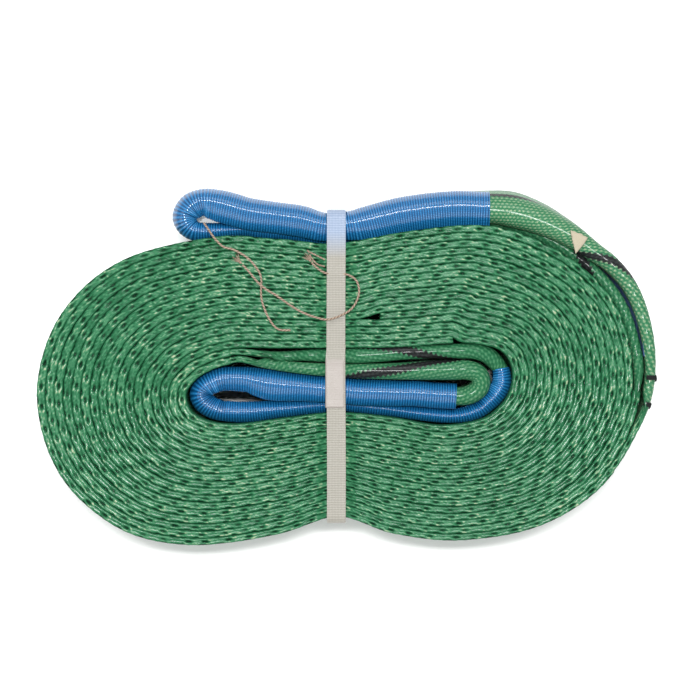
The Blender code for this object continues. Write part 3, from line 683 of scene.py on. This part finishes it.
def sleeve(name, table, seed):
    rows, u = stations(table, 0.3)
    n = len(rows)
    xy, top, half = rows[:, :2], rows[:, 2] + SLEEVE_RISE, rows[:, 3]
    left, right, ridge = rows[:, 4], rows[:, 5], rows[:, 6]
    low = top - SLEEVE_DEPTH
    wide_l, wide_r = -half - left, half + right
    crown = wide_l + (wide_r - wide_l) * ridge
    drop = np.minimum(6.2, 2.2 + 0.3 * (wide_r - wide_l))
    controls = [
        (-0.6 * half, low + 0.5), (-half, low + 2.5), (-half, top - 16), (-half - 0.5 * left, top - 9),
        (wide_l, top - drop), (wide_l + 0.3 * (crown - wide_l), top - 0.42 * drop),
        (wide_l + 0.68 * (crown - wide_l), top - 0.1 * drop), (crown, top),
        (wide_r + 0.68 * (crown - wide_r), top - 0.1 * drop),
        (wide_r + 0.3 * (crown - wide_r), top - 0.4 * drop), (wide_r, top - 0.86 * drop),
        (half + 0.6 * right, top - drop - 0.5), (half, top - drop - 1.6),
        (half, top - 16), (half, low + 2.5), (0.6 * half, low + 0.5),
    ]
    ring = np.stack([np.stack([a + 0 * u, b + 0 * u], axis=1) for a, b in controls], axis=0)
    # Few columns down the hidden sides, many over the crown
    spans = ((0, 3, 6), (3, 12, 44), (12, 16, 8))
    t = np.concatenate([np.linspace(*span)[:-1] for span in spans])
    flat = ring.reshape(len(controls), -1)
    outline = spline(flat, t, closed=True).reshape(len(t), n, 2).transpose(1, 0, 2)
    nxt, prv = np.roll(outline, -1, 1), np.roll(outline, 1, 1)
    tangent = nxt - prv
    tangent /= np.maximum(np.linalg.norm(tangent, axis=2), 1e-6)[..., None]
    out = np.stack([-tangent[..., 1], tangent[..., 0]], axis=2)
    sides = np.linalg.norm(np.diff(outline, axis=1), axis=2)
    around = np.concatenate([np.zeros((n, 1)), np.cumsum(sides, axis=1)], axis=1)
    normal = right_normals(xy)
    bend = np.abs(np.gradient(np.unwrap(np.arctan2(normal[:, 1], normal[:, 0])))) / 0.3
    tight = smooth_step(bend / 0.09)
    inside = smooth_step((outline[..., 0] / np.maximum(half, 1)[:, None] + 0.8) / 1.8)
    rib = 0.1 * np.cos(2 * np.pi * (u[:, None] + 0.12 * np.sin(around * 0.9)) / SLEEVE_RIB)
    wrinkle = 0.55 * tight[:, None] * inside * value_noise(u / 1.5, seed)[:, None]
    soft = 0.28 * value_noise(u / 9, seed + 1)[:, None] * np.cos(around * 0.12)
    ends = smooth_step(u / 1.0) * smooth_step((u[-1] - u) / 1.0)
    push = (rib + wrinkle + soft) * ends[:, None] - 0.25
    outline = outline + out * push[..., None]
    # Painted shade where the wrinkles push in and painted highlight where they push out
    tone = 0.46 + 0.45 * wrinkle
    points = np.stack([
        xy[:, :1] + normal[:, :1] * outline[..., 0],
        xy[:, 1:] + normal[:, 1:] * outline[..., 0],
        outline[..., 1],
    ], axis=-1)
    weave = np.stack([np.broadcast_to(u[:, None], tone.shape), around, tone], axis=-1)
    # The cut ends: the wall's thickness and a short way back inside
    centre = points.mean(axis=1, keepdims=True)
    lips, lip_weave = [], []
    for i, sign in ((0, 1), (n - 1, -1)):
        direction = np.stack([-normal[i, 1], normal[i, 0], 0.0])
        inward = centre[i] - points[i]
        inner = points[i] + inward / np.linalg.norm(inward, axis=1)[:, None] * 0.7
        lips.append((inner, inner + sign * direction * 5))
        lip_weave.append(weave[i])
    first, last = lips
    grid = np.concatenate([first[1][None], first[0][None], points, last[0][None], last[1][None]])
    grid_weave = np.concatenate([lip_weave[0][None]] * 2 + [weave] + [lip_weave[1][None]] * 2)
    return grid_object(name, grid, grid_weave, BLUE, caps=False)


turn = np.linspace(7.978, LOWER_LEG_END, 12)
leg, _ = coil(turn, leg_ply(turn))
one = np.ones(len(turn))
hidden = np.column_stack([leg, np.outer(one, [50, 3.3, 0.1, 0, 0.5])])
for node, table, seed in (("inner_eye_sleeve", INNER_SLEEVE, 501),
                          ("outer_eye_sleeve", np.concatenate([hidden, OUTER_SLEEVE]), 511)):
    cloth = sleeve(node + "_cloth", table, seed)
    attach(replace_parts(cloth, node), "root")


# ---------------------------------------------------------------- strap

def rounded_route():
    """Inner face of the strap as (y, z), dense and closed."""
    top, bottom = WEB_WIDTH - STRAP_BITE + 0.3, STRAP_BITE - 0.3
    far, near, a, b = 71.0, -73.0, 4.5, 2.5
    route = []
    for cy, cz, r, start in ((far - a, bottom + a, a, -90), (far - a, top - a, a, 0),
                             (near + b, top - b, b, 90), (near + b, bottom + b, b, 180)):
        for k in range(9):
            angle = math.radians(start + 90 * k / 8)
            route.append((cy + r * math.cos(angle), cz + r * math.sin(angle)))
    route.append(route[0])
    fine, _ = evenly(np.array(route), 0.05)
    return evenly(fine, 0.6)


STRAP_COLUMNS = np.array([
    -0.5, -0.49, -0.46, -0.42, -0.3, -0.18, -0.06, 0.06, 0.18, 0.3, 0.42, 0.46, 0.49, 0.5,
])
STRAP_ROUND = np.concatenate([STRAP_COLUMNS, STRAP_COLUMNS[::-1]])


def strap_weave(u, points, tone):
    shape = points.shape[:2]
    across = STRAP_ROUND * STRAP_WIDTH
    parts = (u[:, None], across[None], np.asarray(tone))
    return np.stack([np.broadcast_to(part, shape) for part in parts], axis=-1)


def edge_share(c, outermost):
    """How much of the band's thickness is left at a share c of its width, near its rounded edges."""
    return outermost if abs(c) > 0.48 else 0.9 if abs(c) > 0.44 else 1.0


def strap():
    route, u = rounded_route()
    route, u = route[:-1], u[:-1]
    tangent = np.roll(route, -1, 0) - np.roll(route, 1, 0)
    tangent /= np.linalg.norm(tangent, axis=1)[:, None]
    out = np.stack([tangent[:, 1], -tangent[:, 0]], axis=1)
    y, z = route[:, 0], route[:, 1]
    # The band rises over the tucked end of the twine
    bump = (z > 50) * np.exp(-((y - 41.6) / 2.6) ** 2) * 0.75
    wobble = 0.25 * value_noise(u / 60, 77)
    rows = []
    for k, c in enumerate(STRAP_ROUND):
        rise = bump
        if k < len(STRAP_COLUMNS):
            slant = EMBOSS_SLANT * c * STRAP_WIDTH
            emboss = 0.05 * np.cos(2 * np.pi * (u + slant) / EMBOSS_PITCH)
            emboss = emboss * np.cos(2 * np.pi * (u - slant) / EMBOSS_PITCH)
            rise = STRAP_THICK * edge_share(c, 0.55) + emboss * (abs(c) < 0.44) + bump
        x = STRAP_X + c * STRAP_WIDTH + wobble
        rows.append(np.stack([x, y + out[:, 0] * rise, z + out[:, 1] * rise], axis=1))
    points = np.stack(rows, axis=1)
    points = np.concatenate([points, points[:1]])
    weave = strap_weave(np.append(u, u[-1] + 0.6), points, [[1.0]])
    band = grid_object("strap_band", points, weave, STRAP, caps=False)
    # The upper end of the weld, lying on the lower one
    ys = np.concatenate([np.linspace(9, 0, 12), np.linspace(-0.6, -20.2, 34)])
    base = WEB_WIDTH - STRAP_BITE + 0.3 + STRAP_THICK
    lapped = smooth_step((9 - ys) / 8)
    press = 0.1 * smooth_step((0.5 - ys) / 2) * smooth_step((ys + 18.5) / 2)
    ribs = 0.03 * np.cos(2 * np.pi * ys / 1.1) * (ys < 0)
    rows = []
    for k, c in enumerate(STRAP_ROUND):
        z = base - 0.3 + 0 * ys
        if k < len(STRAP_COLUMNS):
            z = base - 0.02 + STRAP_THICK * 0.9 * lapped * edge_share(c, 0.5) - press + ribs
        rows.append(np.stack([STRAP_X - 0.55 * lapped + c * STRAP_WIDTH, ys, z], axis=1))
    slab = np.stack(rows, axis=1)
    weld_tone = (0.25 + 0.75 * smooth_step((ys - 0.5) / 3))[:, None]
    end = grid_object("strap_weld", slab, strap_weave(ys, slab, weld_tone), STRAP)
    for piece in (band, end):
        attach(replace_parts(piece, "packing_strap"), "root")


strap()


# ---------------------------------------------------------------- label, tab and seams

def make_label():
    rows, u = stations(np.column_stack([LABEL_ROUTE, np.zeros(len(LABEL_ROUTE))]), 0.8)
    xy = rows[:, :2]
    normal = right_normals(xy)
    share = u / u[-1]
    room = np.interp(share, [0, 0.25, 0.5, 0.8, 1], [0.9, 1.7, 1.5, 0.6, 0.15])
    heights = np.array([8, 20, 35, 48, 54, 56.8, 57.5, 57.8])
    leaning = np.array([1, 0.9, 0.6, 0.1, -0.4, -0.8, -0.9, -1.0])
    outer = [(lean * room - 0.2, z + 0.2 * np.sin(u / 5)) for lean, z in zip(leaning, heights)]
    inner = [(w + 0.4, z) for w, z in outer[::-1]]
    points = np.stack([np.column_stack([xy + normal * w[:, None], z]) for w, z in outer + inner], axis=1)
    obj = grid_object("label_cloth", points, np.zeros(points.shape), NAVY)
    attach(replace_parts(obj, "id_label"), "root")


def make_tab():
    """Cream woven corner with a frayed upper edge."""
    centre = TAB_OUTLINE.mean(axis=0)
    edge, _ = evenly(np.concatenate([TAB_OUTLINE, TAB_OUTLINE[:1]]), 0.35)
    edge = edge[:-1]
    u = np.arange(len(edge)) * 0.35
    fray = 0.28 * value_noise(u / 0.5, 91) * (edge[:, 1] > 55)
    outward = edge - centre
    edge = edge + outward / np.linalg.norm(outward, axis=1)[:, None] * fray[:, None]
    rings = []
    for scale, z in ((0.02, 60.25), (0.5, 60.3), (0.95, 60.3), (1.0, 60.45),
                     (0.97, 60.7), (0.7, 60.78), (0.35, 60.8), (0.02, 60.8)):
        ring = centre + (edge - centre) * scale
        wave = 0.06 * np.sin(ring[:, 0] * 2.1 + ring[:, 1])
        rings.append(np.column_stack([ring, z + wave]))
    points = np.stack(rings, axis=0)
    obj = grid_object("tab_cloth", points, np.zeros(points.shape), CREAM)
    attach(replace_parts(obj, "label_tab"), "root")


def tube_points(line, radius, sides=8, up=(0, 0, 1)):
    """Rings round a line of points."""
    d = np.gradient(line, axis=0)
    d /= np.maximum(np.linalg.norm(d, axis=1), 1e-9)[:, None]
    a = np.cross(d, np.array(up, float))
    a /= np.maximum(np.linalg.norm(a, axis=1), 1e-9)[:, None]
    b = np.cross(a, d)
    angle = np.linspace(0, 2 * np.pi, sides, endpoint=False)
    radius = np.broadcast_to(np.asarray(radius, float), (len(line),))
    return line[:, None] + radius[:, None, None] * (
        np.cos(angle)[None, :, None] * a[:, None] + np.sin(angle)[None, :, None] * b[:, None])


def joined(name, grids, material):
    """One mesh of many closed tubes."""
    verts, faces = [], []
    for points in grids:
        n, m = points.shape[:2]
        start = len(verts)
        verts += points.reshape(-1, 3).tolist()
        index = start + np.arange(n * m).reshape(n, m)
        nxt = np.roll(index, -1, axis=1)
        faces += np.stack([index[:-1], nxt[:-1], nxt[1:], index[1:]], axis=-1).reshape(-1, 4).tolist()
        faces += [index[0][::-1].tolist(), index[-1].tolist()]
    xyz = np.array(verts)
    xyz[:, :2] -= MIDDLE
    mesh = bpy.data.meshes.new(name)
    mesh.from_pydata((xyz * MM).tolist(), [], faces)
    mesh.polygons.foreach_set("use_smooth", [True] * len(mesh.polygons))
    mesh.materials.append(material)
    obj = link(bpy.data.objects.new(name, mesh))
    fix_normals(obj)
    return obj


def stitch(a, b, out, radius=0.3, sink=0.25):
    """One stitch between two points, dipping into the cloth at both ends."""
    t = np.linspace(0, 1, 7)[:, None]
    line = a + (b - a) * t + out * (np.sin(np.pi * t) * (sink + 0.15) - sink)
    return tube_points(line, radius * (0.75 + 0.25 * np.sin(np.pi * t[:, 0])), 6, up=(0.3, 0.2, 1))


def surface_line(ply, first, last, step, offset_share=0.465):
    turn = np.linspace(first, last, int((last - first) * TURN_SAMPLES) + 2)
    place, pitch = coil(turn, ply(turn))
    rows, _ = evenly(np.column_stack([place, pitch]), step)
    normal = right_normals(rows[:, :2])
    # Turns are counted anticlockwise, so the right-hand normal points away from the middle
    return rows[:, :2] + normal * (rows[:, 2] * offset_share)[:, None], normal


def body_seams():
    for position, height in (("upper", 51.0), ("middle", 30.0), ("lower", 9.0)):
        line, normal = surface_line(outer_ply, 7.2, 7.7, 1.5)
        grids = []
        for k in range(0, len(line) - 2, 2):
            a = np.array([*line[k], height + 0.15])
            b = np.array([*line[k + 2], height - 0.15])
            out = np.array([*normal[k + 1], 0.0])
            grids.append(stitch(a + (b - a) * 0.06, b - (b - a) * 0.06, out))
        obj = joined("seam_" + position + "_stitches", grids, GREEN_THREAD)
        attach(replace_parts(obj, "body_seam_" + position), "root")


def zigzag(line, normal, low, high, count, radius):
    """Stitches to and fro between the two ends of a short line, up the webbing's width."""
    grids = []
    for k in range(count):
        z0, z1 = low + (high - low) * k / count, low + (high - low) * (k + 1) / count
        a, b = (line[0], line[-1]) if k % 2 else (line[-1], line[0])
        out = np.array([*normal, 0.0])
        grids.append(stitch(np.array([*a, z0]), np.array([*b, z1]), out, radius, 0.2))
    return grids


make_label()
make_tab()
body_seams()
for node, at in (("inner_eye_seam", 0.24), ("splice_seam_start", 1.2), ("splice_seam_end", 1.78)):
    line, normal = surface_line(outer_ply, at - 0.006, at + 0.006, 1.0, 0.3)
    grids = zigzag(line, normal[len(line) // 2], 6, 58.5, 32, 0.28)
    obj = joined(node + "_stitches", grids, GREEN_THREAD)
    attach(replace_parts(obj, node), "root")

rows, u = stations(OUTER_MOUTH, 0.5)
outward = -right_normals(rows[:, :2])
for node, y_at in (("outer_eye_seam_near", -6.4), ("outer_eye_seam_far", -18.8)):
    middle = np.argmin(np.abs(rows[:, 1] - y_at) + 100 * (rows[:, 0] < 120))
    pick = slice(middle - 3, middle + 4)
    line = rows[pick, :2] + outward[pick] * rows[pick, 4:5]
    grids = zigzag(line, outward[middle], 5, 59, 30, 0.3)
    # Where the seam turns over the top edge
    inward = -outward[middle]
    for k in range(4):
        start = rows[middle - 2 + k, :2] + outward[middle] * 2.0
        reach = 4.4 if node.endswith("near") else 3.6
        a = np.array([*start, 60.1])
        b = np.array([*(start + inward * reach), 60.1])
        grids.append(stitch(a, b, np.array([0, 0, 1.0]), 0.34, 0.3))
    obj = joined(node + "_stitches", grids, BLACK)
    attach(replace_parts(obj, node), "root")


# ---------------------------------------------------------------- twine

def twine(name, route, nodes):
    rest = np.array([0, 0, WEB_WIDTH + 0.3 + TWINE_RADIUS])
    rows, u = stations(route.astype(float) + rest, 0.22, 3)
    rows[:, 2] += 0.08 * value_noise(u / 2.3, 61)
    d = np.gradient(rows, axis=0)
    d /= np.linalg.norm(d, axis=1)[:, None]
    a = np.cross(d, np.array([0, 0, 1.0]))
    a /= np.linalg.norm(a, axis=1)[:, None]
    b = np.cross(a, d)
    angle = np.linspace(0, 2 * np.pi, 16, endpoint=False)
    twist = 2 * np.pi * u / 3.4
    lobes = 0.36 + 0.15 * np.abs(np.cos(angle[None] - twist[:, None]))
    fibre = 0.025 * np.cos(9 * angle[None] + 5 * twist[:, None])
    radius = lobes + fibre
    spokes = np.cos(angle)[None, :, None] * a[:, None] + np.sin(angle)[None, :, None] * b[:, None]
    ring = rows[:, None] + radius[..., None] * spokes
    # Painted highlight on the plies' crowns and on raised fibres, painted shade in the grooves between
    # plies
    tone = 0.2 + 3 * (lobes - 0.36) + 4.8 * fibre
    weave = np.stack([u[:, None] + 0 * tone, angle[None] + 0 * tone, tone], axis=-1)
    obj = grid_object(name, ring, weave, TWINE)
    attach(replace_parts(obj, *nodes), "root")
    path = rows[::6].copy()
    path[:, :2] -= MIDDLE


def tuft(name, node, centre, heading, spread, count, seed, strands=()):
    """A fan of frayed fibres with a small knot at its root, and any loose strands beside it."""
    rng = np.random.default_rng(seed)
    grids = []
    for strand in strands:
        line, _ = stations(np.column_stack([strand, np.full(len(strand), 60.72)]), 0.3, 3)
        grids.append(tube_points(line, 0.34 + 0.06 * np.sin(np.arange(len(line)) * 1.1), 8))
    for _ in range(count):
        angle = math.radians(heading + spread * (rng.random() - 0.5) * 2)
        reach = 2.2 + 2.6 * rng.random()
        bow = (rng.random() - 0.5) * 1.6
        t = np.linspace(0, 1, 8)[:, None]
        direction = np.array([math.cos(angle), math.sin(angle), 0])
        sideways = np.array([-direction[1], direction[0], 0])
        start = np.array([*centre, 60.75]) + sideways * (rng.random() - 0.5) * 0.6
        line = start + direction * reach * t + sideways * bow * t * t
        line[:, 2] += (rng.random() - 0.4) * 0.7 * t[:, 0] - 0.12 * t[:, 0]
        line[:, 2] = np.maximum(line[:, 2], 60.35)
        grids.append(tube_points(line, 0.13 * (1 - 0.6 * t[:, 0]), 5))
    t = np.linspace(0, 1, 9)
    way = np.array([math.cos(math.radians(heading)), math.sin(math.radians(heading)), 0])
    knot = np.array([*centre, 60.85]) + way * (t[:, None] - 0.5) * 1.5
    grids.append(tube_points(knot, 0.15 + 0.5 * np.sin(np.pi * t) ** 0.7, 10))
    obj = joined(name, grids, TWINE)
    layer = obj.data.attributes.new("weave", "FLOAT_VECTOR", "POINT")
    values = np.zeros((len(obj.data.vertices), 3), np.float32)
    values[:, 2] = 0.3 + 0.4 * np.random.default_rng(seed).random(len(values))
    layer.data.foreach_set("vector", values.reshape(-1))
    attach(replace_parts(obj, node), "root")
    return obj


outer_tuft = tuft("tuft_outer_fibres", "twine_tuft_outer", (-49, 46.7), 130, 32, 22, 5)
inner_tuft = tuft("tuft_inner_fibres", "twine_tuft_inner", (-16.9, 47.6), 125, 36, 20, 9, (
    [(-18.4, 52.2), (-15.8, 50.8), (-13, 49.4), (-10.2, 47.9)],
    [(-17.2, 50.2), (-15.4, 47.6), (-13.3, 45.7), (-10.2, 44.9)],
))
twine("twine_free", FREE_STRAND, ["twine_free_strand"])
twine("twine_over_strap", STRAP_STRAND, ["twine_strap_strand", "twine_tucked_strand"])


# ---------------------------------------------------------------- stage

def stage():
    bpy.ops.mesh.primitive_plane_add(size=14, location=(0, 0, -0.0002))
    floor = bpy.context.object
    floor.name = "floor"
    n = Nodes("floor_white")
    n.shader.inputs["Base Color"].default_value = (0.95, 0.95, 0.95, 1)
    n.shader.inputs["Roughness"].default_value = 0.9
    floor.data.materials.append(n.material)
    world = bpy.data.worlds.new("studio")
    bpy.context.scene.world = world
    world.use_nodes = True
    world.node_tree.nodes["Background"].inputs[0].default_value = (1, 1, 1, 1)
    world.node_tree.nodes["Background"].inputs[1].default_value = 0.46
    for name, place, size, power, target in (
        ("key", (0.1, 1.2, 1.3), (0.9, 0.9), 15, (0, 0, 0.05)),
        ("top", (0, 0.165, 1.5), (0.42, 0.1), 22, (0, 0, 0)),
        ("side", (-1.4, -0.9, 0.9), (1.0, 1.0), 7.5, (0, 0, 0)),
        ("low", (0.6, -1.4, 1.0), (1.2, 1.2), 10.5, (0, 0, 0)),
    ):
        data = bpy.data.lights.new(name, "AREA")
        data.shape = "RECTANGLE"
        data.size, data.size_y = size
        data.energy = power
        lamp = link(bpy.data.objects.new(name, data))
        lamp.location = place
        # The strip light faces straight down, so it mirrors as a line along the ridges
        if name != "top":
            direction = Vector(target) - Vector(place)
            lamp.rotation_euler = direction.to_track_quat("-Z", "Y").to_euler()
    data = bpy.data.cameras.new("camera")
    data.sensor_width = 36
    # The view is 322 mm wide at a distance of 1 m
    data.lens = data.sensor_width / 0.322
    camera = link(bpy.data.objects.new("camera", data))
    camera.location = (0.00106, 0.00764, 1.06)
    bpy.context.scene.camera = camera
    bpy.context.scene.view_settings.view_transform = "Standard"


stage()
